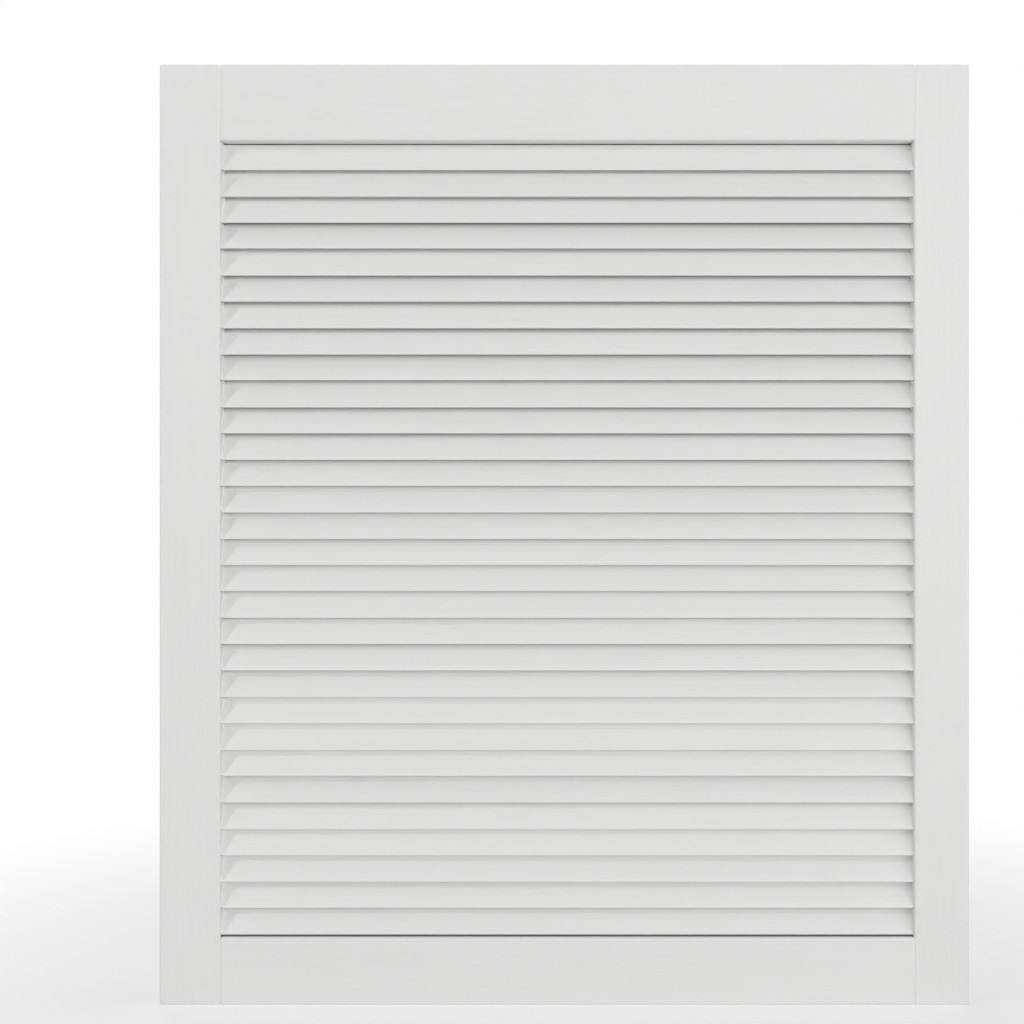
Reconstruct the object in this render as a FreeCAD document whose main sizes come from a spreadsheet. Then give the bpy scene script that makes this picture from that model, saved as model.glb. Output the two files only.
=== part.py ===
import FreeCAD, Part

import math
import os

import Sketcher

# Louvred cabinet door: two full-height stiles, two rails between them and a ladder of fixed slats.
# The origin lies on the outer edge of the left stile, at mid-height and mid-thickness.
# X runs across the door to the right, Y from the front face to the back, Z up.

SIZES = {
    # Overall leaf
    "door_width": 594,
    "door_height": 690,
    "door_thickness": 21,
    # Frame members
    "left_stile_width": 44.4,
    "right_stile_width": 40.4,
    "top_rail_height": 56,
    "bottom_rail_height": 49.3,
    "outer_ease": 1.2,
    "bay_ease": 2,
    "joint_ease": 1,
    # Stub tenons of the rails and their mortises in the stiles
    "tenon_length": 24,
    "tenon_thickness": 7,
    "tenon_shoulder": 9,
    "tenon_clearance": 0.1,
    "mortise_end_room": 1,
    # Slats
    "slat_count": 30,
    "slat_rise": 20.8,
    "slat_thickness": 5.5,
    "slat_edge_radius": 0.7,
    "slat_tilt": 27.5,
    "top_slat_gap": 0.3,
    "bottom_slat_gap": 1.5,
    # Housings that hold the slat ends
    "housing_depth": 8,
    "housing_clearance": 0.1,
    "slat_end_clearance": 0.2,
}

# How near an edge's middle lies to a plane for the edge to count as on it
POINT_TOLERANCE = 0.01

# Lengths that follow from the driving sizes, as expressions on the sheet
BAY_WIDTH = "(dims.door_width - dims.left_stile_width - dims.right_stile_width)"
BAY_MIDDLE = "((dims.door_width + dims.left_stile_width - dims.right_stile_width) / 2)"
BAY_BOTTOM = "(dims.bottom_rail_height - dims.door_height / 2)"
BAY_TOP = "(dims.door_height / 2 - dims.top_rail_height)"
LOWEST_SLAT = f"({BAY_BOTTOM} + dims.bottom_slat_gap + dims.slat_rise / 2)"
HIGHEST_SLAT = f"({BAY_TOP} - dims.top_slat_gap - dims.slat_rise / 2)"
SLAT_SPREAD = f"({HIGHEST_SLAT} - {LOWEST_SLAT})"
SLAT_LENGTH = f"({BAY_WIDTH} + 2 * dims.housing_depth - 2 * dims.slat_end_clearance)"
HOUSING_RISE = "(dims.slat_rise + 2 * dims.housing_clearance)"
HOUSING_THICKNESS = "(dims.slat_thickness + 2 * dims.housing_clearance)"


def make_sheet(document):
    """Writes the driving sizes into a spreadsheet, one named cell each."""
    sheet = document.addObject("Spreadsheet::Sheet", "dims")
    for row, (name, size) in enumerate(SIZES.items(), start=1):
        sheet.set(f"A{row}", name)
        sheet.set(f"B{row}", str(size))
        sheet.setAlias(f"B{row}", name)
    document.recompute()
    return sheet


def origin_feature(body, role):
    """Returns the body's own origin plane or axis that has this role."""
    return next(feature for feature in body.Origin.OriginFeatures if feature.Role == role)


def add_sketch(body, name, plane, offset=None):
    """Adds a sketch on one of the body's origin planes, moved along its normal by an expression."""
    sketch = body.newObject("Sketcher::SketchObject", name)
    sketch.AttachmentSupport = [(origin_feature(body, plane), "")]
    sketch.MapMode = "FlatFace"
    if offset:
        sketch.setExpression("AttachmentOffset.Base.z", offset)
    return sketch


def add_line(sketch, start, end):
    """Adds a line between two points of the sketch plane and returns its index."""
    return sketch.addGeometry(Part.LineSegment(FreeCAD.Vector(*start), FreeCAD.Vector(*end)))


def draw_rectangle(sketch, width, height):
    """Draws a rectangle centred on the sketch's origin, with its sides bound to two expressions."""
    corners = [(-1, -1), (1, -1), (1, 1), (-1, 1)]
    lines = [add_line(sketch, corners[side], corners[(side + 1) % 4]) for side in range(4)]
    for side in range(4):
        sketch.addConstraint(Sketcher.Constraint("Coincident", lines[side], 2, lines[(side + 1) % 4], 1))
    for side in (0, 2):
        sketch.addConstraint(Sketcher.Constraint("Horizontal", lines[side]))
    for side in (1, 3):
        sketch.addConstraint(Sketcher.Constraint("Vertical", lines[side]))
    sketch.addConstraint(Sketcher.Constraint("Symmetric", lines[0], 1, lines[2], 1, -1, 1))
    bind(sketch, Sketcher.Constraint("DistanceX", lines[0], 1, lines[0], 2, 2.0), "width", width)
    bind(sketch, Sketcher.Constraint("DistanceY", lines[1], 1, lines[1], 2, 2.0), "height", height)


def bind(sketch, constraint, name, expression):
    """Adds a named dimension to a sketch and ties it to an expression."""
    sketch.renameConstraint(sketch.addConstraint(constraint), name)
    sketch.setExpression(f"Constraints.{name}", expression)


def draw_slanted_section(sketch, rise, thickness):
    """Draws a slat's section: level ends, and sides that lean so that the lower end comes forward."""
    tilt = math.radians(SIZES["slat_tilt"])
    half_rise = SIZES["slat_rise"] / 2
    half_lean = half_rise * math.tan(tilt)
    half_end = SIZES["slat_thickness"] / 2 / math.cos(tilt)
    lower_end = [(-half_lean - half_end, -half_rise), (-half_lean + half_end, -half_rise)]
    corners = lower_end + [(-x, -y) for x, y in lower_end]
    lines = [add_line(sketch, corners[side], corners[(side + 1) % 4]) for side in range(4)]
    for side in range(4):
        sketch.addConstraint(Sketcher.Constraint("Coincident", lines[side], 2, lines[(side + 1) % 4], 1))
    for side in range(2):
        sketch.addConstraint(Sketcher.Constraint("Symmetric", lines[side], 1, lines[side + 2], 1, -1, 1))
    sketch.addConstraint(Sketcher.Constraint("Horizontal", lines[0]))
    end_length = Sketcher.Constraint("DistanceX", lines[0], 1, lines[0], 2, 2 * half_end)
    bind(sketch, end_length, "end_length", f"{thickness} / cos(dims.slat_tilt)")
    height = Sketcher.Constraint("DistanceY", lines[1], 1, lines[1], 2, 2 * half_rise)
    bind(sketch, height, "rise", rise)
    lean = Sketcher.Constraint("DistanceX", lines[1], 1, lines[1], 2, 2 * half_lean)
    bind(sketch, lean, "lean", f"{rise} * tan(dims.slat_tilt)")


def add_pad(body, name, sketch, length):
    """Pads a sketch by an expression, half to each side of its plane."""
    pad = body.newObject("PartDesign::Pad", name)
    pad.Profile = sketch
    pad.SideType = "Symmetric"
    pad.setExpression("Length", length)
    body.Document.recompute()
    return pad


def add_pocket(body, name, sketch, depth, towards_plus_x):
    """Cuts a sketch into the body along X by an expression and makes sure that it removes wood."""
    volume_before = body.Shape.Volume
    pocket = body.newObject("PartDesign::Pocket", name)
    pocket.Profile = sketch
    pocket.Reversed = towards_plus_x
    pocket.setExpression("Length", depth)
    body.Document.recompute()
    if pocket.Shape.isNull() or pocket.Shape.Volume >= volume_before:
        raise RuntimeError(f"{name} removes no wood")
    return pocket


def matching_edges(shape, belongs):
    """Names the edges of a shape whose middle point passes a test."""
    numbered = enumerate(shape.Edges, start=1)
    return [f"Edge{number}" for number, edge in numbered if belongs(edge.CenterOfMass)]


def round_edges(body, name, radius, belongs):
    """Rounds the edges of the body whose middle point passes a test."""
    base = body.Tip
    fillet = body.newObject("PartDesign::Fillet", name)
    fillet.Base = (base, matching_edges(base.Shape, belongs))
    fillet.setExpression("Radius", radius)
    body.Document.recompute()


def chamfer_edges(body, name, size, belongs):
    """Chamfers the edges of the body whose middle point passes a test."""
    base = body.Tip
    chamfer = body.newObject("PartDesign::Chamfer", name)
    chamfer.Base = (base, matching_edges(base.Shape, belongs))
    chamfer.setExpression("Size", size)
    body.Document.recompute()


def add_body(document, name):
    """Starts a sub-part whose label names its file."""
    body = document.addObject("PartDesign::Body", name)
    body.Label = name
    return body


def make_stile(document, name, bay_side):
    """Builds a stile whose inner edge looks along X in the direction of bay_side, 1 or -1."""
    body = add_body(document, name)
    section = add_sketch(body, f"{name}_section", "XY_Plane")
    draw_rectangle(section, f"dims.{name}_width", "dims.door_thickness")
    add_pad(body, f"{name}_length", section, "dims.door_height")
    inner_edge = SIZES[f"{name}_width"] / 2

    def on_inner_edge(middle):
        return math.isclose(middle.x * bay_side, inner_edge, abs_tol=POINT_TOLERANCE)

    round_edges(
        body, f"{name}_outer_arrises", "dims.outer_ease", lambda middle: not on_inner_edge(middle)
    )
    round_edges(body, f"{name}_inner_arrises", "dims.bay_ease", on_inner_edge)
    into_plus_x = bay_side < 0
    face = f"{bay_side} * dims.{name}_width / 2"
    cut_mortises(body, name, face, into_plus_x)
    cut_housings(body, name, face, into_plus_x)
    to_the_right = f"{(1 - bay_side) // 2} * dims.door_width"
    body.setExpression("Placement.Base.x", f"{to_the_right} + {face}")
    return body


def cut_mortises(body, name, face, into_plus_x):
    """Cuts the blind mortises for the two rails' tenons into the stile's inner edge."""
    rails = {
        "top": ("dims.top_rail_height", 1),
        "bottom": ("dims.bottom_rail_height", -1),
    }
    for place, (rail_height, end) in rails.items():
        sketch = add_sketch(body, f"{name}_{place}_mortise", "YZ_Plane", face)
        middle = f"{end} * (dims.door_height - {rail_height}) / 2"
        sketch.setExpression("AttachmentOffset.Base.y", middle)
        draw_rectangle(
            sketch,
            "dims.tenon_thickness + 2 * dims.tenon_clearance",
            f"{rail_height} - 2 * dims.tenon_shoulder + 2 * dims.tenon_clearance",
        )
        depth = "dims.tenon_length + dims.mortise_end_room"
        add_pocket(body, f"{name}_{place}_mortise_cut", sketch, depth, into_plus_x)


def cut_housings(body, name, face, into_plus_x):
    """Cuts one slanted blind housing for the lowest slat and repeats it up the stile."""
    sketch = add_sketch(body, f"{name}_housing", "YZ_Plane", face)
    sketch.setExpression("AttachmentOffset.Base.y", LOWEST_SLAT)
    draw_slanted_section(sketch, HOUSING_RISE, HOUSING_THICKNESS)
    cut = add_pocket(body, f"{name}_housing_cut", sketch, "dims.housing_depth", into_plus_x)
    volume_with_one = body.Shape.Volume
    row = body.newObject("PartDesign::LinearPattern", f"{name}_housing_row")
    row.Originals = [cut]
    row.Direction = (origin_feature(body, "Z_Axis"), [""])
    row.setExpression("Length", SLAT_SPREAD)
    row.setExpression("Occurrences", "dims.slat_count")
    body.Tip = row
    body.Document.recompute()
    if row.Shape.isNull() or row.Shape.Volume >= volume_with_one:
        raise RuntimeError(f"{name} has only one housing")


def make_rail(document, name, rail_height, end):
    """Builds a rail with a stub tenon at each end; end is 1 for the top rail and -1 for the bottom."""
    body = add_body(document, name)
    section = add_sketch(body, f"{name}_section", "YZ_Plane")
    draw_rectangle(section, "dims.door_thickness", rail_height)
    add_pad(body, f"{name}_length", section, BAY_WIDTH)
    bay_half = (SIZES["door_width"] - SIZES["left_stile_width"] - SIZES["right_stile_width"]) / 2

    def on_outer_arris(middle):
        return middle.z * end > 0 and abs(middle.x) < POINT_TOLERANCE

    def on_bay_arris(middle):
        return middle.z * end < 0 and abs(middle.x) < POINT_TOLERANCE

    def at_an_end(middle):
        return math.isclose(abs(middle.x), bay_half, abs_tol=POINT_TOLERANCE)

    round_edges(body, f"{name}_outer_arrises", "dims.outer_ease", on_outer_arris)
    round_edges(body, f"{name}_bay_arrises", "dims.bay_ease", on_bay_arris)
    chamfer_edges(body, f"{name}_end_arrises", "dims.joint_ease", at_an_end)
    tenon = add_sketch(body, f"{name}_tenon_section", "YZ_Plane")
    draw_rectangle(tenon, "dims.tenon_thickness", f"{rail_height} - 2 * dims.tenon_shoulder")
    add_pad(body, f"{name}_tenons", tenon, f"{BAY_WIDTH} + 2 * dims.tenon_length")
    body.setExpression("Placement.Base.x", BAY_MIDDLE)
    body.setExpression("Placement.Base.z", f"{end} * (dims.door_height - {rail_height}) / 2")
    return body


def make_slat(document, number, count):
    """Builds one slat, numbered from the top, with both ends in the stiles' housings."""
    name = f"slat_{number:02d}"
    body = add_body(document, name)
    section = add_sketch(body, f"{name}_section", "YZ_Plane")
    draw_slanted_section(section, "dims.slat_rise", "dims.slat_thickness")
    add_pad(body, f"{name}_length", section, SLAT_LENGTH)
    round_edges(
        body, f"{name}_edges", "dims.slat_edge_radius", lambda middle: abs(middle.x) < POINT_TOLERANCE
    )
    steps_down = f"{number - 1} * {SLAT_SPREAD} / (dims.slat_count - 1)"
    body.setExpression("Placement.Base.x", BAY_MIDDLE)
    body.setExpression("Placement.Base.z", f"{HIGHEST_SLAT} - {steps_down}")
    return body


def check_document(document, bodies):
    """Stops the build where any object failed or any sub-part has no valid solid."""
    for item in document.Objects:
        if any(state in ("Invalid", "Error") for state in item.State):
            raise RuntimeError(f"{item.Label} did not build: {item.State}")
    for body in bodies:
        if body.Shape.isNull() or not body.Shape.isValid() or len(body.Shape.Solids) != 1:
            raise RuntimeError(f"{body.Label} is not one valid solid")


def main():
    """Builds every sub-part from the sheet, checks them and writes one file for each."""
    document = FreeCAD.newDocument("louvred_door")
    sheet = make_sheet(document)
    bodies = [
        make_stile(document, "left_stile", 1),
        make_stile(document, "right_stile", -1),
        make_rail(document, "top_rail", "dims.top_rail_height", 1),
        make_rail(document, "bottom_rail", "dims.bottom_rail_height", -1),
    ]
    slat_count = int(sheet.slat_count)
    bodies += [make_slat(document, number, slat_count) for number in range(1, slat_count + 1)]
    document.recompute()
    check_document(document, bodies)
    os.makedirs("parts", exist_ok=True)
    for body in bodies:
        body.Shape.exportStep(f"parts/{body.Label}.step")


main()
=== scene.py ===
"""Looks of a louvred cabinet door: satin white paint over pine, on a pale floor in soft studio light."""

import logging
import math
import random
from dataclasses import dataclass, field
from enum import Enum
from typing import Any, Sequence

import bmesh
import bpy
from mathutils import Matrix, Vector


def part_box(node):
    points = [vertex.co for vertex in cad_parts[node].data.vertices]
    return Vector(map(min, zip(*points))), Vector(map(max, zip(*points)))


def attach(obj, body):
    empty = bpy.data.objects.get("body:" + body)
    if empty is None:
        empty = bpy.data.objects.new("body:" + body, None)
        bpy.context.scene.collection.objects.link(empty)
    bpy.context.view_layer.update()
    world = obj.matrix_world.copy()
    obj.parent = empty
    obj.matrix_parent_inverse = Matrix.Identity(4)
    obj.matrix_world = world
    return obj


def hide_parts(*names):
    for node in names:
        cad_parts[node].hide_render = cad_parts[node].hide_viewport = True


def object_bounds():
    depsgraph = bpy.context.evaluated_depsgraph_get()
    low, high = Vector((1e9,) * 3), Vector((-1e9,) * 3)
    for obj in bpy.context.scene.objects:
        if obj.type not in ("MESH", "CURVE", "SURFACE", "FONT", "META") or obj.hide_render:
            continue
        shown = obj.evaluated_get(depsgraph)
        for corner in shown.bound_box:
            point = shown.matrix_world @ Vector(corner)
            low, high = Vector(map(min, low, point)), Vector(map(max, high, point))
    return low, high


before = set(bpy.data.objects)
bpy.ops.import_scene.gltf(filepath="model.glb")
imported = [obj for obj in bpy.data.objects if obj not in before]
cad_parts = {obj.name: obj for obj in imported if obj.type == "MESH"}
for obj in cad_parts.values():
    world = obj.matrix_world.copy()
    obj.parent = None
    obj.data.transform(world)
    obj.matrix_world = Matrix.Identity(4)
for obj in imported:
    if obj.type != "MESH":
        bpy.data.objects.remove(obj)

log = logging.getLogger("louvred_door")

MM = 0.001
BODY = "root"
DOOR_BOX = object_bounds()
SHARP_ANGLE = math.radians(40)
WHITE = (1.0, 1.0, 1.0, 1.0)


class GrainRun(Enum):
    """The direction in which a member's wood grain runs."""

    UPRIGHT = "Z"
    LEVEL = "X"


class Slot(Enum):
    """The part's material slots, which also name the paints."""

    STILE = "stile_paint"
    RAIL = "rail_paint"
    SLAT = "slat_paint"


@dataclass(frozen=True)
class Pattern:
    """An irregular pattern in wood or paint.

    Attributes:
        scale: Its features per metre.
        detail: How many finer layers it has.
        roughness: How strong the finer layers are.
    """

    scale: float
    detail: float
    roughness: float


class Graph:
    """Adds nodes to a node tree and links them, one call for each node."""

    def __init__(self, tree: bpy.types.NodeTree) -> None:
        """Starts on a shader or geometry tree, which it empties."""
        self.tree = tree
        tree.nodes.clear()

    def add(self, kind: str, inputs: dict[Any, Any] | None = None, **settings: Any) -> bpy.types.Node:
        """Adds one node, sets its properties and fills its inputs.

        Args:
            kind: The node's type name.
            inputs: Socket names or numbers, each with a value or another node's output.
            settings: Properties of the node itself.

        Returns:
            The new node.
        """
        node = self.tree.nodes.new(kind)
        for name, value in settings.items():
            setattr(node, name, value)
        for key, value in (inputs or {}).items():
            socket = node.inputs[key]
            if isinstance(value, bpy.types.NodeSocket):
                self.tree.links.new(value, socket)
            else:
                socket.default_value = value
        return node

    def math(self, operation: str, *values: Any) -> bpy.types.NodeSocket:
        """Adds a Math node on numbers or outputs and gives its result."""
        return self.add("ShaderNodeMath", dict(enumerate(values)), operation=operation).outputs[0]

    def blend(
        self, first: Any, first_share: float, second: Any, second_share: float
    ) -> bpy.types.NodeSocket:
        """Adds up two outputs, each times its own share.

        Args:
            first: The first output.
            first_share: What it is multiplied by.
            second: The second output.
            second_share: What it is multiplied by.

        Returns:
            The result's socket.
        """
        one = self.math("MULTIPLY", first, first_share)
        other = self.math("MULTIPLY", second, second_share)
        return self.math("ADD", one, other)

    def span(
        self, value: Any, low: Any, high: Any, start: float = 0.0, end: float = 1.0, smooth: bool = False
    ) -> bpy.types.NodeSocket:
        """Goes from low to high while a value goes from start to end, and stays there beyond them.

        Args:
            value: The output to read.
            low: The result at the start.
            high: The result at the end.
            start: The value at which the change begins.
            end: The value at which it is done.
            smooth: Whether it begins and ends gently.

        Returns:
            The result's socket.
        """
        inputs = {"Value": value, "From Min": start, "From Max": end, "To Min": low, "To Max": high}
        course = "SMOOTHSTEP" if smooth else "LINEAR"
        return self.add("ShaderNodeMapRange", inputs, interpolation_type=course).outputs[0]

    def noise(self, place: bpy.types.NodeSocket, pattern: Pattern) -> bpy.types.NodeSocket:
        """Adds an irregular pattern.

        Args:
            place: Where the pattern is read.
            pattern: Its size and character.

        Returns:
            The pattern's socket.
        """
        inputs = {
            "Vector": place,
            "Scale": pattern.scale,
            "Detail": pattern.detail,
            "Roughness": pattern.roughness,
        }
        return self.add("ShaderNodeTexNoise", inputs).outputs[0]

    def part_of(self, vector: Any, axis: str) -> bpy.types.NodeSocket:
        """Reads one axis of a vector."""
        return self.add("ShaderNodeSeparateXYZ", {0: vector}).outputs[axis]

    def along_x(self, length: Any) -> bpy.types.NodeSocket:
        """Makes a vector of a given length along X."""
        return self.add("ShaderNodeCombineXYZ", {"X": length}).outputs[0]


class ShapeGraph(Graph):
    """A geometry tree with named inputs, whose result is real geometry with its paint on."""

    def __init__(self, name: str, inputs: dict[str, Sequence[str]]) -> None:
        """Starts the tree with its inputs and one more for the paint.

        Args:
            name: The tree's name.
            inputs: The inputs' names under their kind, which is Float, Int or Vector.
        """
        super().__init__(bpy.data.node_groups.new(name, "GeometryNodeTree"))
        for kind, sockets in {**inputs, "Material": ("Paint",)}.items():
            for socket in sockets:
                self.tree.interface.new_socket(socket, in_out="INPUT", socket_type=f"NodeSocket{kind}")
        self.tree.interface.new_socket("Geometry", in_out="OUTPUT", socket_type="NodeSocketGeometry")
        self.given = self.add("NodeGroupInput").outputs

    def sweep(self, spine: Any, section: Any) -> bpy.types.NodeSocket:
        """Sweeps a section along a line and closes both ends."""
        inputs = {"Curve": spine, "Profile Curve": section, "Fill Caps": True}
        return self.add("GeometryNodeCurveToMesh", inputs).outputs[0]

    def store(self, geometry: Any, name: str, value: Any) -> bpy.types.NodeSocket:
        """Keeps a number at every point.

        Args:
            geometry: The geometry.
            name: The attribute that keeps it.
            value: The number.

        Returns:
            The geometry with the attribute.
        """
        inputs = {"Geometry": geometry, "Name": name, "Value": value}
        kind = "GeometryNodeStoreNamedAttribute"
        return self.add(kind, inputs, data_type="FLOAT", domain="POINT").outputs[0]

    def close(self, geometry: Any) -> bpy.types.NodeTree:
        """Makes the geometry real, paints it and hands it out.

        Args:
            geometry: The last shape.

        Returns:
            The finished tree.
        """
        whole = self.add("GeometryNodeRealizeInstances", {"Geometry": geometry}).outputs[0]
        inputs = {"Geometry": whole, "Material": self.given["Paint"]}
        painted = self.add("GeometryNodeSetMaterial", inputs).outputs[0]
        self.add("NodeGroupOutput", {0: painted})
        return self.tree


@dataclass(frozen=True)
class PaintFinish:
    """Satin paint brushed over pine, with the wood's grain telegraphing through, and painted shade where
    a piece carries its marks.

    Attributes:
        slot: The material slot that it dresses.
        run: The way the grain runs.
        colour: The paint's colour, linear.
        shade: The colour where the paint lies thinly over summer wood, linear.
        roughness_low: Roughness of the smoothest patches.
        roughness_high: Roughness of the dullest patches.
        gloss: Index of refraction of the paint's surface.
        drawn_out: Size of the grain's pattern across the board as a share of that along it.
        ring_width: Distance between growth rings, in metres.
        sway_width: Width of timber whose rings one full sway goes through, in metres.
        sway: The slow sway of the rings.
        pores: The fine pores along the grain.
        patches: Clouds of thicker and thinner paint.
        stipple: The roller's stipple, 0.9 mm across.
        ring_share: Part of the rings in the grain.
        pore_share: Part of the pores in the grain.
        grain_tint: How strongly the grain tints the paint.
        patch_tint: How strongly the patches tint the paint.
        patch_dulling: Part of the patches in the roughness.
        stipple_dulling: Part of the stipple in the roughness.
        grain_depth: How far the rings stand proud, in metres.
        stipple_depth: Depth of the stipple, in metres.
        painted_shade_loss: Share of its brightness that the paint loses where its painted shade is
            deepest, under the slats and in the cracks.
        nose_shade_start: Where up a slat's face the painted shade under the slat above begins, as a
            share of its rise.
        nose_shade_loss: Share of its brightness that the paint loses under the deepest painted shade
            below a nose.
    """

    slot: Slot
    run: GrainRun
    colour: tuple[float, float, float] = (0.842, 0.844, 0.838)
    shade: tuple[float, float, float] = (0.812, 0.813, 0.804)
    roughness_low: float = 0.42
    roughness_high: float = 0.56
    gloss: float = 1.48
    drawn_out: float = 0.035
    ring_width: float = 5.0 * MM
    sway_width: float = 0.12
    sway: Pattern = Pattern(26.0, 2.0, 0.5)
    pores: Pattern = Pattern(900.0, 4.0, 0.62)
    patches: Pattern = Pattern(9.0, 3.0, 0.6)
    stipple: Pattern = Pattern(1.0 / (0.9 * MM), 2.0, 0.5)
    ring_share: float = 0.35
    pore_share: float = 0.9
    grain_tint: float = 0.28
    patch_tint: float = 0.55
    patch_dulling: float = 0.7
    stipple_dulling: float = 0.3
    grain_depth: float = 0.035 * MM
    stipple_depth: float = 0.012 * MM
    painted_shade_loss: float = 0.90
    nose_shade_start: float = 0.75
    nose_shade_loss: float = 0.70

    def build(self) -> bpy.types.Material:
        """Makes the material.

        Returns:
            The finished material.
        """
        material = bpy.data.materials.new(self.slot.value)
        material.use_nodes = True
        graph = Graph(material.node_tree)
        place = graph.add("ShaderNodeTexCoord").outputs["Object"]
        grain = self.add_grain(graph, place)
        patches = graph.noise(place, self.patches)
        stipple = graph.noise(place, self.stipple)
        dull = graph.blend(patches, self.patch_dulling, stipple, self.stipple_dulling)
        inputs = {
            "Base Color": self.add_colour(graph, grain, patches),
            "Roughness": graph.span(dull, self.roughness_low, self.roughness_high),
            "Normal": self.add_relief(graph, grain, stipple),
            "IOR": self.gloss,
        }
        shader = graph.add("ShaderNodeBsdfPrincipled", inputs).outputs[0]
        graph.add("ShaderNodeOutputMaterial", {"Surface": shader})
        return material

    def add_grain(self, graph: Graph, place: bpy.types.NodeSocket) -> bpy.types.NodeSocket:
        """Adds the growth rings and pores, drawn out along the board.

        Args:
            graph: The material's nodes.
            place: The place on the door.

        Returns:
            The grain's socket.
        """
        stretch = [self.drawn_out if axis == self.run.value else 1.0 for axis in "XYZ"]
        board = graph.add("ShaderNodeMapping", {"Vector": place, "Scale": stretch}).outputs[0]
        turns = self.sway_width / self.ring_width * math.tau
        rings = graph.math("SINE", graph.math("MULTIPLY", graph.noise(board, self.sway), turns))
        return graph.blend(rings, self.ring_share, graph.noise(board, self.pores), self.pore_share)

    def add_colour(self, graph: Graph, grain: Any, patches: Any) -> bpy.types.NodeSocket:
        """Adds the paint's colour, darkened by painted shade on the slats' undersides, the crack strips
        and the top of each slat's face.

        Args:
            graph: The material's nodes.
            grain: The grain.
            patches: The patches.

        Returns:
            The colour's socket.
        """
        tone = graph.blend(grain, self.grain_tint, patches, self.patch_tint)
        tints = {"Factor": tone, 6: (*self.colour, 1.0), 7: (*self.shade, 1.0)}
        paint = graph.add("ShaderNodeMix", tints, data_type="RGBA").outputs[2]
        # Painted shade: the slats' undersides and the crack strips are darkened by their mark.
        shade_mark = graph.add("ShaderNodeAttribute", attribute_name="painted_shade").outputs["Fac"]
        height = graph.add("ShaderNodeAttribute", attribute_name="nose_shade_height").outputs["Fac"]
        # Painted shade under each nose, deepening towards the top of a slat's front face.
        nose_shade = graph.span(height, 1.0, 1.0 - self.nose_shade_loss, self.nose_shade_start, smooth=True)
        painted_shading = graph.math("MULTIPLY", graph.span(shade_mark, 1.0, 1.0 - self.painted_shade_loss), nose_shade)
        dimmed = {0: paint, "Scale": painted_shading}
        return graph.add("ShaderNodeVectorMath", dimmed, operation="SCALE").outputs[0]

    def add_relief(self, graph: Graph, grain: Any, stipple: Any) -> bpy.types.NodeSocket:
        """Adds the relief of the grain and, over it, of the stipple.

        Args:
            graph: The material's nodes.
            grain: The grain.
            stipple: The stipple.

        Returns:
            The normal's socket.
        """
        wood = {"Strength": 1.0, "Distance": self.grain_depth, "Height": grain}
        relief = graph.add("ShaderNodeBump", wood).outputs[0]
        roller = {"Strength": 1.0, "Distance": self.stipple_depth, "Height": stipple, "Normal": relief}
        return graph.add("ShaderNodeBump", roller).outputs[0]


def slat_names() -> list[str]:
    """Lists the slats' plain solids from the top down."""
    return sorted(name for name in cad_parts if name.startswith("slat_"))


def stile_edges() -> list[tuple[str, float, float]]:
    """Gives each stile's side, its inner edge along X, and 1 or -1 for the way to the slats."""
    return [("left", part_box("left_stile")[1].x, 1.0), ("right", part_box("right_stile")[0].x, -1.0)]


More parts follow.
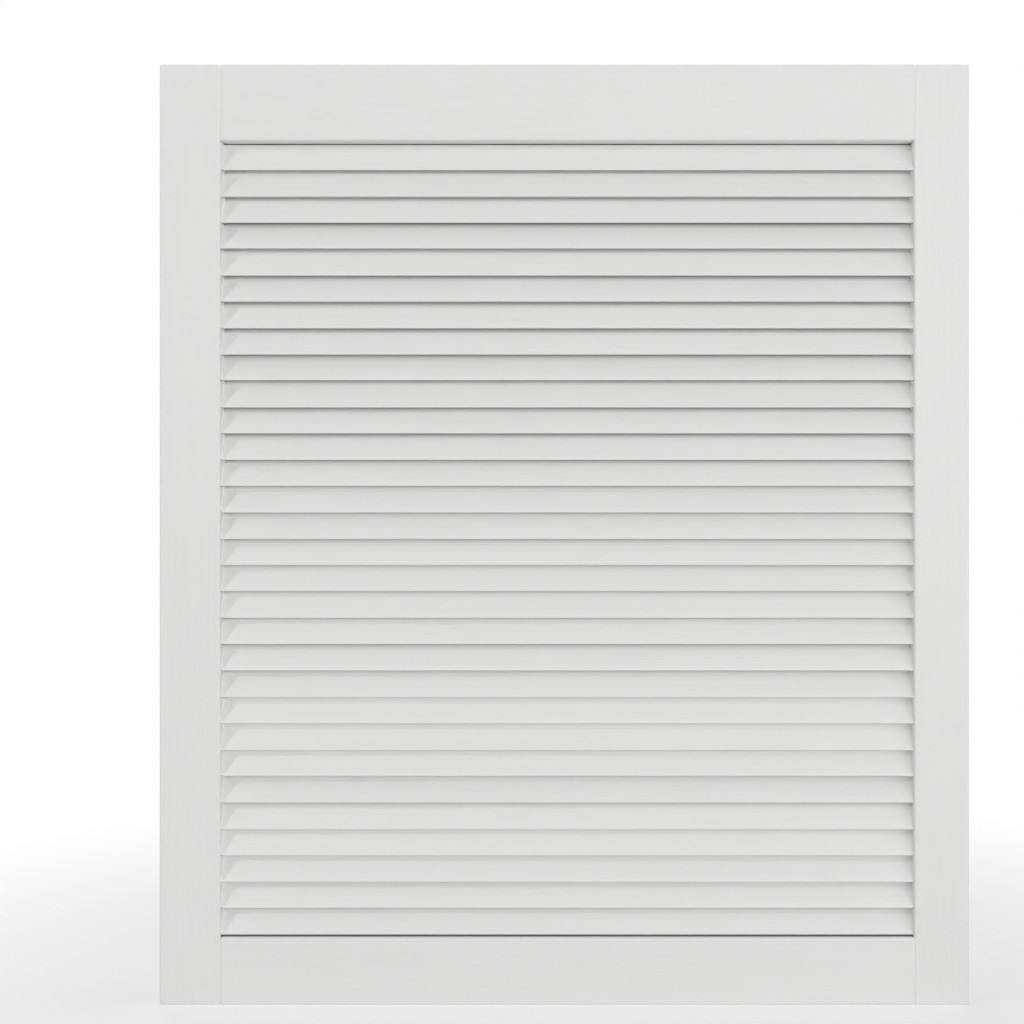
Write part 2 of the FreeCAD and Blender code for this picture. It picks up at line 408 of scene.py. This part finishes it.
@dataclass
class SlatLadder:
    """The fixed slats, each a planed strip with level-cut edges and its own slight unevenness.

    Attributes:
        finish: The paint on the slats.
        rise: The strip's height from its lower edge to its upper edge, in metres.
        thickness: The strip's thickness, in metres.
        nose: Radius of the rounded corners, in metres.
        tilt: Lean from upright with the lower edge forward, in radians.
        stations: Cross-sections along a slat.
        nose_steps: Facets on each rounded corner.
        bow: Greatest wander of a slat from straight, in metres.
        waves: How often a slat wanders, per metre.
        play: Greatest difference in seating height, in metres.
        depth_play: Greatest difference in seating depth, in metres.
        turn_play: Greatest difference in lean, in radians.
        underside_shade_start: The upward part of a face's direction at which painted shade on the
            undersides begins.
        underside_shade_full: The upward part of a face's direction at which that painted shade is
            deepest.
        underside_shade_range: How deep the painted shade under a slat is at least and at most, where 1
            is deepest.
        front: The backward part of a face's direction below which it counts as a front.
        nose_shade_play: Greatest difference in that painted shade from slat to slat.
        top_nose_shade: How deep the painted shade on the top slat is, where 1 is a slat with another
            above it.
        top_drop: How much lower the top slat sits than its plain solid, in metres.
        seed: Start of the random draws.
        wave_choices: Range of the draw that picks a slat's own wander.
    """

    finish: bpy.types.Material
    rise: float = 20.8 * MM
    thickness: float = 5.5 * MM
    nose: float = 0.75 * MM
    tilt: float = math.radians(27.5)
    stations: int = 36
    nose_steps: int = 6
    bow: float = 0.16 * MM
    waves: float = 3.2
    play: float = 0.24 * MM
    depth_play: float = 0.30 * MM
    turn_play: float = math.radians(1.1)
    underside_shade_start: float = -0.70
    underside_shade_full: float = -1.0
    underside_shade_range: tuple[float, float] = (0.35, 1.00)
    front: float = -0.1
    nose_shade_play: float = 0.04
    top_nose_shade: float = 0.84
    top_drop: float = 0.4 * MM
    seed: int = 7
    wave_choices: float = 100.0
    tree: bpy.types.NodeTree = field(init=False)

    def __post_init__(self) -> None:
        """Builds the slat's node tree once for all slats."""
        self.tree = self.make_tree()

    @property
    def set_back(self) -> float:
        """How far a slat's upper edge lies behind its lower edge, in metres."""
        return self.rise * math.tan(self.tilt)

    def make_tree(self) -> bpy.types.NodeTree:
        """Builds the tree that sweeps a rounded section along a slightly wandering line.

        Returns:
            The geometry tree.
        """
        sizes = ("Length", "Rise", "Edge Depth", "Set Back", "Nose")
        own = ("Turn", "Bow", "Seed", "Painted Shade", "Nose Shade")
        graph = ShapeGraph("planed_slat", {"Float": (*sizes, *own), "Vector": ("Centre",)})
        given = graph.given
        place = graph.add("GeometryNodeInputPosition").outputs[0]
        marked = self.mark_painted_shade(graph, self.sweep_strip(graph), place)
        drift = self.add_drift(graph, place)
        uneven = graph.add("GeometryNodeSetPosition", {"Geometry": marked, "Offset": drift}).outputs[0]
        turned = {
            "Geometry": uneven,
            "Rotation": graph.along_x(given["Turn"]),
            "Translation": given["Centre"],
        }
        return graph.close(graph.add("GeometryNodeTransform", turned).outputs[0])

    def sweep_strip(self, graph: ShapeGraph) -> bpy.types.NodeSocket:
        """Adds the straight strip, centred on the origin.

        Args:
            graph: The tree's nodes.

        Returns:
            The strip.
        """
        given = graph.given
        half = graph.math("MULTIPLY", given["Length"], 0.5)
        ends = {"Start": graph.along_x(graph.math("MULTIPLY", half, -1.0)), "End": graph.along_x(half)}
        line = graph.add("GeometryNodeCurvePrimitiveLine", ends).outputs[0]
        steps = {"Curve": line, "Count": self.stations}
        spine = graph.add("GeometryNodeResampleCurve", steps, mode="COUNT").outputs[0]
        section = graph.add(
            "GeometryNodeCurvePrimitiveQuadrilateral",
            {"Width": given["Edge Depth"], "Height": given["Rise"], "Offset": given["Set Back"]},
            mode="PARALLELOGRAM",
        ).outputs[0]
        rounded = graph.add(
            "GeometryNodeFilletCurve",
            {"Curve": section, "Count": self.nose_steps, "Radius": given["Nose"], "Limit Radius": True},
            mode="POLY",
        ).outputs[0]
        return graph.sweep(spine, rounded)

    def mark_painted_shade(self, graph: ShapeGraph, strip: Any, place: Any) -> bpy.types.NodeSocket:
        """Marks the painted shade on the undersides, and how high a point of the front face lies for the
        painted shade under the slat above.

        Args:
            graph: The tree's nodes.
            strip: The strip.
            place: The position.

        Returns:
            The strip with both marks.
        """
        # Painted shade: faces that point downward get a darker paint.
        facing = graph.add("GeometryNodeInputNormal").outputs[0]
        upward = graph.part_of(facing, "Z")
        below = graph.span(upward, 0.0, graph.given["Painted Shade"], self.underside_shade_start, self.underside_shade_full)
        underside_shaded = graph.store(strip, "painted_shade", below)
        # Painted shade: the front face's height, which darkens its top under the slat above.
        level = graph.math("DIVIDE", graph.part_of(place, "Z"), graph.given["Rise"])
        on_face = graph.math("LESS_THAN", graph.part_of(facing, "Y"), self.front)
        share = graph.math("MULTIPLY", graph.math("ADD", level, 0.5), on_face)
        height = graph.math("MULTIPLY", share, graph.given["Nose Shade"])
        return graph.store(underside_shaded, "nose_shade_height", height)

    def add_drift(self, graph: ShapeGraph, place: Any) -> bpy.types.NodeSocket:
        """Adds the slat's slow wander up, down, forward and back.

        Args:
            graph: The tree's nodes.
            place: The position.

        Returns:
            How far each point moves.
        """
        wave = graph.add(
            "ShaderNodeTexNoise",
            {"Vector": place, "W": graph.given["Seed"], "Scale": self.waves, "Detail": 1.0},
            noise_dimensions="4D",
        ).outputs["Color"]
        middle = {0: wave, 1: (0.5, 0.5, 0.5)}
        centred = graph.add("ShaderNodeVectorMath", middle, operation="SUBTRACT").outputs[0]
        upright = {0: centred, 1: (0.0, 1.0, 1.0)}
        sideways = graph.add("ShaderNodeVectorMath", upright, operation="MULTIPLY").outputs[0]
        amount = {0: sideways, "Scale": graph.given["Bow"]}
        return graph.add("ShaderNodeVectorMath", amount, operation="SCALE").outputs[0]

    def build(self) -> list[bpy.types.Object]:
        """Makes every slat in place of its plain solid, from the top down."""
        draws = random.Random(self.seed)
        return [self.make_slat(name, draws) for name in slat_names()]

    def make_slat(self, name: str, draws: random.Random) -> bpy.types.Object:
        """Makes one slat.

        Args:
            name: The plain solid that it stands for.
            draws: Source of the slat's own unevenness.

        Returns:
            The slat's object.
        """
        low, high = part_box(name)
        centre = (low + high) / 2
        nose_shade = draws.uniform(1.0 - self.nose_shade_play, 1.0 + self.nose_shade_play)
        centre.y += draws.uniform(-self.depth_play, self.depth_play)
        centre.z += draws.uniform(-self.play, self.play)
        # The top slat sits under the rail and gets its own depth of painted shade.
        if name == slat_names()[0]:
            nose_shade = self.top_nose_shade
            centre.z -= self.top_drop
        values = {
            "Length": high.x - low.x,
            "Rise": self.rise,
            "Edge Depth": self.thickness / math.cos(self.tilt),
            "Set Back": self.set_back,
            "Nose": self.nose,
            "Turn": draws.uniform(-self.turn_play, self.turn_play),
            "Bow": self.bow,
            "Centre": centre,
            "Seed": draws.uniform(0.0, self.wave_choices),
            "Painted Shade": draws.uniform(*self.underside_shade_range),
            "Nose Shade": nose_shade,
            "Paint": self.finish,
        }
        slat = grow(f"painted_{name}", self.tree, values)
        fit(slat)
        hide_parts(name)
        return slat


@dataclass
class CornerBeads:
    """The paint that gathers in the corner between each slat's face and the stile.

    Attributes:
        finish: The paint.
        ladder: The slats.
        radius: How far a bead reaches up each of the two faces, in metres.
        hollow: How far its surface sinks towards the corner, as a share of the radius.
        lead: How far it stops short of each edge of the slat, in metres.
        bury: How deep its root lies in the slat, in metres.
    """

    finish: bpy.types.Material
    ladder: SlatLadder
    radius: float = 1.1 * MM
    hollow: float = 0.36
    lead: float = 0.8 * MM
    bury: float = 0.06 * MM
    tree: bpy.types.NodeTree = field(init=False)

    def __post_init__(self) -> None:
        """Builds the beads' node tree once for both stiles."""
        self.tree = self.make_tree()

    def make_tree(self) -> bpy.types.NodeTree:
        """Builds the tree that sweeps one bead and repeats it up a stile.

        Returns:
            The geometry tree.
        """
        vectors = ("Along Slat", "Hollow", "Up Stile", "Turn", "Lowest", "Step")
        graph = ShapeGraph("corner_beads", {"Float": ("Length",), "Int": ("Count",), "Vector": vectors})
        given = graph.given
        ends = {"Start": (0.0, 0.0, 0.0), "End": graph.along_x(given["Length"])}
        spine = graph.add("GeometryNodeCurvePrimitiveLine", ends).outputs[0]
        corners = {
            "Point 1": (0.0, 0.0, 0.0),
            "Point 2": given["Along Slat"],
            "Point 3": given["Hollow"],
            "Point 4": given["Up Stile"],
        }
        section = graph.add("GeometryNodeCurvePrimitiveQuadrilateral", corners, mode="POINTS").outputs[0]
        leaning = {"Geometry": graph.sweep(spine, section), "Rotation": given["Turn"]}
        bead = graph.add("GeometryNodeTransform", leaning).outputs[0]
        steps = {"Count": given["Count"], "Start Location": given["Lowest"], "Offset": given["Step"]}
        row = graph.add("GeometryNodeMeshLine", steps, mode="OFFSET").outputs[0]
        beads = graph.add("GeometryNodeInstanceOnPoints", {"Points": row, "Instance": bead}).outputs[0]
        return graph.close(beads)

    def build(self) -> list[bpy.types.Object]:
        """Makes the beads along both stiles, as one object for each."""
        return [
            self.make_row(f"{side}_corner_paint", edge, towards) for side, edge, towards in stile_edges()
        ]

    def make_row(self, name: str, edge: float, towards: float) -> bpy.types.Object:
        """Makes the beads of one stile.

        Args:
            name: The object's name.
            edge: The stile's inner edge along X, in metres.
            towards: 1 where the slats lie to the right of the edge, otherwise -1.

        Returns:
            The object.
        """
        names = slat_names()
        top_low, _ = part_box(names[0])
        low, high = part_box(names[-1])
        tilt = self.ladder.tilt
        lean = Vector((0.0, math.sin(tilt), math.cos(tilt)))
        across = Vector((1.0, 0.0, 0.0))
        inwards = lean.cross(across)
        sink = self.radius * self.hollow
        values = {
            "Length": (high.z - low.z) / math.cos(tilt) - 2.0 * self.lead,
            "Along Slat": Vector((-towards * self.radius, 0.0, 0.0)),
            "Hollow": Vector((-towards * sink, sink, 0.0)),
            "Up Stile": Vector((0.0, self.radius, 0.0)),
            "Turn": Vector(Matrix((lean, across, inwards)).transposed().to_euler()),
            "Lowest": Vector((edge, low.y, low.z)) + lean * self.lead + inwards * self.bury,
            "Step": Vector((0.0, 0.0, (top_low.z - low.z) / (len(names) - 1))),
            "Count": len(names),
            "Paint": self.finish,
        }
        row = grow(name, self.tree, values)
        fit(row)
        return row


@dataclass
class CrackShadeStrips:
    """Dark strips at the back of the cracks above and below the row of slats, painted shade that closes
    them.

    Attributes:
        finish: The slat paint, which the painted-shade mark darkens fully here.
        ladder: The slats.
        depth: How far behind the lowest slat's front edge its strip begins, in metres.
        top_depth: How far behind the top slat's upper front edge its strip begins, in metres.
        width: Their size from front to back, in metres.
        bury: How far they reach into the slat and the rail, in metres.
    """

    finish: bpy.types.Material
    ladder: SlatLadder
    depth: float = 1.4 * MM
    top_depth: float = 0.8 * MM
    width: float = 2.0 * MM
    bury: float = 0.3 * MM

    def build(self) -> bpy.types.Object:
        """Makes both strips as one piece.

        Returns:
            The strips.
        """
        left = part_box("left_stile")[1].x - self.bury
        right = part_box("right_stile")[0].x + self.bury
        top_low, top_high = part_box(slat_names()[0])
        lowest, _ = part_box(slat_names()[-1])
        top_foot = top_high.z - self.ladder.top_drop - self.ladder.play - self.bury
        top_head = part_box("top_rail")[0].z + self.bury
        cracks = (
            (top_low.y + self.ladder.set_back + self.top_depth, top_foot, top_head),
            (lowest.y + self.depth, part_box("bottom_rail")[1].z - self.bury, lowest.z + self.bury),
        )
        shape = bmesh.new()
        for front, foot, head in cracks:
            low = Vector((left, front, foot))
            high = Vector((right, front + self.width, head))
            place = Matrix.LocRotScale((low + high) / 2, None, high - low)
            bmesh.ops.create_cube(shape, size=1.0, matrix=place)
        # Painted shade: the strips carry the fullest mark, so they render dark.
        strips = keep_shape("crack_shade_strips", shape, self.finish)
        shade_values = strips.data.attributes.new("painted_shade", "FLOAT", "POINT")
        shade_values.data.foreach_set("value", [1.0] * len(strips.data.vertices))
        return strips


@dataclass
class JointPaint:
    """The paint that half fills the grooves where the rails meet the stiles.

    Attributes:
        finish: The paint.
        sunk: How far it lies below the rail's surface all round, in metres.
        on_stile: How far it reaches over the stile's rounded edge, in metres.
        on_rail: How far it reaches over the rail's bevelled end, in metres.
        bay_round: Radius of its edges towards the slats, in metres.
        outer_round: Radius of its edges at the door's edge, in metres.
        steps: Facets on each rounded edge.
    """

    finish: bpy.types.Material
    sunk: float = 0.50 * MM
    on_stile: float = 0.72 * MM
    on_rail: float = 0.52 * MM
    bay_round: float = 1.5 * MM
    outer_round: float = 0.7 * MM
    steps: int = 5

    def build(self) -> bpy.types.Object:
        """Makes the paint of all four joints.

        Returns:
            The paint.
        """
        inset = Vector((0.0, self.sunk, self.sunk))
        rails = {
            "top_rail": (self.bay_round, self.outer_round),
            "bottom_rail": (self.outer_round, self.bay_round),
        }
        shape = bmesh.new()
        for rail, (lower, upper) in rails.items():
            low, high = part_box(rail)
            outline = self.draw_outline(low + inset, high - inset, lower, upper)
            for _, edge, towards in stile_edges():
                self.add_joint(shape, outline, edge, towards)
        bmesh.ops.recalc_face_normals(shape, faces=shape.faces)
        return keep_shape("joint_paint", shape, self.finish)

    def draw_outline(
        self, low: Vector, high: Vector, lower: float, upper: float
    ) -> list[tuple[float, float]]:
        """Works out a rectangle with rounded corners, seen along X.

        Args:
            low: The lowest corner.
            high: The highest corner.
            lower: Radius of the two lower corners, in metres.
            upper: Radius of the two upper corners, in metres.

        Returns:
            The points as Y and Z.
        """
        centres = (
            (high.y - upper, high.z - upper, upper),
            (low.y + upper, high.z - upper, upper),
            (low.y + lower, low.z + lower, lower),
            (high.y - lower, low.z + lower, lower),
        )
        points = []
        for quarter, (y, z, radius) in enumerate(centres):
            for step in range(self.steps + 1):
                turn = math.radians(90.0) * (quarter + step / self.steps)
                points.append((y + radius * math.cos(turn), z + radius * math.sin(turn)))
        return points

    def add_joint(
        self, shape: bmesh.types.BMesh, outline: list[tuple[float, float]], edge: float, towards: float
    ) -> None:
        """Adds the paint of one joint.

        Args:
            shape: The shape that it goes into.
            outline: The paint's outline, seen along X.
            edge: The stile's inner edge along X, in metres.
            towards: 1 where the rail lies to the right of the edge, otherwise -1.
        """
        places = (edge - towards * self.on_stile, edge + towards * self.on_rail)
        near, far = ([shape.verts.new((place, y, z)) for y, z in outline] for place in places)
        shape.faces.new(near)
        shape.faces.new(far)
        for first in range(len(outline)):
            after = (first + 1) % len(outline)
            shape.faces.new((near[first], near[after], far[after], far[first]))


def grow(name: str, tree: bpy.types.NodeTree, values: dict[str, Any]) -> bpy.types.Object:
    """Runs a geometry tree and keeps its result as a plain mesh.

    Args:
        name: The new object's name.
        tree: The geometry tree.
        values: The tree's inputs by name.

    Returns:
        The object, with no modifier left on it.
    """
    piece = bpy.data.objects.new(name, bpy.data.meshes.new(f"{name}_seed"))
    bpy.context.scene.collection.objects.link(piece)
    modifier = piece.modifiers.new("shape", "NODES")
    modifier.node_group = tree
    for item in tree.interface.items_tree:
        if item.in_out == "INPUT":
            modifier[item.identifier] = values[item.name]
    graph = bpy.context.evaluated_depsgraph_get()
    mesh = bpy.data.meshes.new_from_object(piece.evaluated_get(graph), depsgraph=graph)
    mesh.name = name
    piece.modifiers.remove(modifier)
    piece.data = mesh
    return piece


def keep_shape(
    name: str, shape: bmesh.types.BMesh, finish: bpy.types.Material
) -> bpy.types.Object:
    """Makes a piece of a finished shape.

    Args:
        name: The piece's name.
        shape: The shape, which is used up.
        finish: Its material.

    Returns:
        The piece, fitted to the door.
    """
    mesh = bpy.data.meshes.new(name)
    shape.to_mesh(mesh)
    shape.free()
    mesh.materials.append(finish)
    piece = bpy.data.objects.new(name, mesh)
    bpy.context.scene.collection.objects.link(piece)
    fit(piece)
    return piece


def fit(piece: bpy.types.Object) -> None:
    """Shades a piece smooth across its roundings and lets it ride on the door.

    Args:
        piece: The piece.
    """
    mesh = piece.data
    mesh.polygons.foreach_set("use_smooth", [True] * len(mesh.polygons))
    mesh.set_sharp_from_angle(angle=SHARP_ANGLE)
    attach(piece, BODY)


@dataclass
class DoorFrame:
    """The stiles and rails, which keep their modelled shape and take their paint.

    Attributes:
        upright: Paint with upright grain, for the stiles.
        level: Paint with level grain, for the rails.
    """

    upright: bpy.types.Material
    level: bpy.types.Material

    def dress(self) -> list[bpy.types.Object]:
        """Paints the four members.

        Returns:
            The painted members.
        """
        paints = {
            "left_stile": self.upright,
            "right_stile": self.upright,
            "top_rail": self.level,
            "bottom_rail": self.level,
        }
        members = []
        for name, paint in paints.items():
            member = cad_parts[name]
            for place in member.material_slots:
                place.material = paint
            members.append(member)
        return members


@dataclass
class Camera:
    """The photograph's viewpoint, square to the door.

    Attributes:
        distance: From the lens to the door's front face, in metres.
        sensor_width: Width of the camera's sensor, in millimetres.
        image_side: Width and height of the picture, in pixels.
        door_centre: Where the door's centre lies in the picture, in pixels from the top left.
        door_height: The door's height in the picture, in pixels.
        door_width: The door's width in the picture, in pixels.
        sideways: How far the lens stands to the right of the door's centre, in metres.
        raised: How far the lens stands above the door's centre, in metres.
    """

    distance: float = 1.2
    sensor_width: float = 36.0
    image_side: float = 1024.0
    door_centre: tuple[float, float] = (564.3, 534.6)
    door_height: float = 938.0
    door_width: float = 812.0
    sideways: float = 0.020
    raised: float = 0.060

    def place(self) -> bpy.types.Object:
        """Makes the camera and hands it to the scene.

        Returns:
            The camera.
        """
        low, high = DOOR_BOX
        metres_per_pixel = ((high.x - low.x) / self.door_width + (high.z - low.z) / self.door_height) / 2
        data = bpy.data.cameras.new("photo_camera")
        data.sensor_width = self.sensor_width
        data.lens = self.sensor_width * self.distance / (metres_per_pixel * self.image_side)
        offset_x = self.door_centre[0] - self.image_side / 2 + self.sideways / metres_per_pixel
        offset_y = self.door_centre[1] - self.image_side / 2 - self.raised / metres_per_pixel
        data.shift_x = -offset_x / self.image_side
        data.shift_y = offset_y / self.image_side
        camera = bpy.data.objects.new("photo_camera", data)
        middle = (low + high) / 2
        camera.location = (middle.x + self.sideways, low.y - self.distance, middle.z + self.raised)
        camera.rotation_euler = (math.radians(90), 0.0, 0.0)
        bpy.context.scene.collection.objects.link(camera)
        bpy.context.scene.camera = camera
        return camera


@dataclass(frozen=True)
class Lamp:
    """One soft oblong lamp that points at the door.

    Attributes:
        name: The lamp's name.
        offset: From the door's centre, in metres.
        width: Its size from left to right, in metres.
        height: Its size from top to bottom, in metres.
        power: Power, in watts.
    """

    name: str
    offset: tuple[float, float, float]
    width: float
    height: float
    power: float

    def hang(self, centre: Vector) -> bpy.types.Object:
        """Makes the lamp.

        Args:
            centre: The point that it lights.

        Returns:
            The lamp.
        """
        data = bpy.data.lights.new(self.name, "AREA")
        data.shape = "RECTANGLE"
        data.size = self.width
        data.size_y = self.height
        data.energy = self.power
        lamp = bpy.data.objects.new(self.name, data)
        lamp.location = centre + Vector(self.offset)
        lamp.rotation_euler = (-Vector(self.offset)).to_track_quat("-Z", "Y").to_euler()
        bpy.context.scene.collection.objects.link(lamp)
        return lamp


@dataclass
class Studio:
    """A pale floor, a white surround and soft lamps.

    Attributes:
        lamps: The lamps.
        ambient: Strength of the room's light in front of the door.
        ambient_behind: Strength of the room's light behind the door.
        ambient_turn: How far forward or back a direction may point and still meet a mix of the two.
        floor_reach: Half the floor's side, in metres.
        floor_colour: The floor's colour, linear.
        floor_whiteness: How white the floor looks at the door, where 1 hides the shadow.
        shadow_start: How far from the door's middle the shadow keeps its strength, in metres.
        shadow_end: How far from the door's middle the floor has gone white, in metres.
    """

    lamps: Sequence[Lamp] = (
        Lamp("key_lamp", (2.00, -2.95, 0.36), 5.6, 0.7, 73.0),
        Lamp("left_lamp", (-2.60, -1.75, 1.20), 0.42, 0.42, 21.0),
        Lamp("top_lamp", (0.0, 0.0, 2.20), 0.8, 0.3, 8.5),
        Lamp("back_lamp", (-0.90, 3.00, 0.50), 2.2, 1.4, 62.0),
    )
    ambient: float = 0.33
    ambient_behind: float = 0.10
    ambient_turn: float = 0.2
    floor_reach: float = 6.0
    floor_colour: tuple[float, float, float] = (0.80, 0.80, 0.80)
    floor_whiteness: float = 0.60
    shadow_start: float = 0.3
    shadow_end: float = 0.8

    def build(self) -> None:
        """Makes the surround, the floor and the lamps."""
        self.make_surround()
        self.make_floor()
        centre = (DOOR_BOX[0] + DOOR_BOX[1]) / 2
        for lamp in self.lamps:
            lamp.hang(centre)
        bpy.context.scene.view_settings.view_transform = "Standard"

    def make_surround(self) -> None:
        """Makes a world that looks white and lights softly."""
        world = bpy.data.worlds.new("studio")
        bpy.context.scene.world = world
        world.use_nodes = True
        graph = Graph(world.node_tree)
        seen = graph.add("ShaderNodeLightPath").outputs
        direct = graph.math("MAXIMUM", seen["Is Camera Ray"], seen["Is Transmission Ray"])
        shown = graph.math("MAXIMUM", direct, seen["Is Glossy Ray"])
        heading = graph.add("ShaderNodeTexCoord").outputs["Generated"]
        behind = graph.part_of(heading, "Y")
        turn = self.ambient_turn
        room = graph.span(behind, self.ambient, self.ambient_behind, -turn, turn)
        strength = graph.math("MAXIMUM", shown, room)
        sky = graph.add("ShaderNodeBackground", {"Color": WHITE, "Strength": strength}).outputs[0]
        graph.add("ShaderNodeOutputWorld", {"Surface": sky})

    def make_floor(self) -> None:
        """Makes the floor, which keeps the door's shadow and goes white away from it."""
        low, high = DOOR_BOX
        middle = (low + high) / 2
        reach = self.floor_reach
        corners = [(-reach, -reach), (reach, -reach), (reach, reach), (-reach, reach)]
        shape = bmesh.new()
        shape.faces.new([shape.verts.new((middle.x + x, middle.y + y, low.z)) for x, y in corners])
        mesh = bpy.data.meshes.new("floor")
        shape.to_mesh(mesh)
        shape.free()
        mesh.materials.append(self.make_floor_paint(Vector((middle.x, middle.y, low.z))))
        floor = bpy.data.objects.new("floor", mesh)
        bpy.context.scene.collection.objects.link(floor)

    def make_floor_paint(self, foot: Vector) -> bpy.types.Material:
        """Makes the floor's material.

        Args:
            foot: The middle of the door's lower edge.

        Returns:
            The material.
        """
        material = bpy.data.materials.new("pale_floor")
        material.use_nodes = True
        graph = Graph(material.node_tree)
        place = graph.add("ShaderNodeTexCoord").outputs["Object"]
        ends = {0: place, 1: foot}
        away = graph.add("ShaderNodeVectorMath", ends, operation="DISTANCE").outputs["Value"]
        whiteness = graph.span(
            away, self.floor_whiteness, 1.0, self.shadow_start, self.shadow_end, smooth=True
        )
        seen = graph.add("ShaderNodeLightPath").outputs["Is Camera Ray"]
        share = graph.math("MULTIPLY", whiteness, seen)
        matt = graph.add("ShaderNodeBsdfDiffuse", {"Color": (*self.floor_colour, 1.0)}).outputs[0]
        white = graph.add("ShaderNodeEmission", {"Color": WHITE, "Strength": 1.0}).outputs[0]
        mixed = graph.add("ShaderNodeMixShader", {0: share, 1: matt, 2: white}).outputs[0]
        graph.add("ShaderNodeOutputMaterial", {"Surface": mixed})
        return material


def main() -> None:
    """Builds the door's looks and the studio around it."""
    logging.basicConfig(level=logging.INFO, format="%(name)s: %(message)s")
    stile_paint = PaintFinish(Slot.STILE, GrainRun.UPRIGHT).build()
    rail_paint = PaintFinish(Slot.RAIL, GrainRun.LEVEL).build()
    # Painted light: the slats' paint is paler than the frame's, making up for their upturned faces
    # catching less of the lamps.
    slat_paint = PaintFinish(
        Slot.SLAT,
        GrainRun.LEVEL,
        colour=(0.872, 0.874, 0.868),
        shade=(0.844, 0.845, 0.836),
        ring_width=4.0 * MM,
    ).build()
    for member in DoorFrame(stile_paint, rail_paint).dress():
        log.info("painted %s", member.name)
    ladder = SlatLadder(slat_paint)
    fillings = [CrackShadeStrips(slat_paint, ladder).build(), JointPaint(rail_paint).build()]
    for piece in ladder.build() + CornerBeads(slat_paint, ladder).build() + fillings:
        log.info("made %s, %d faces", piece.name, len(piece.data.polygons))
    Studio().build()
    Camera().place()


if __name__ == "__main__":
    main()
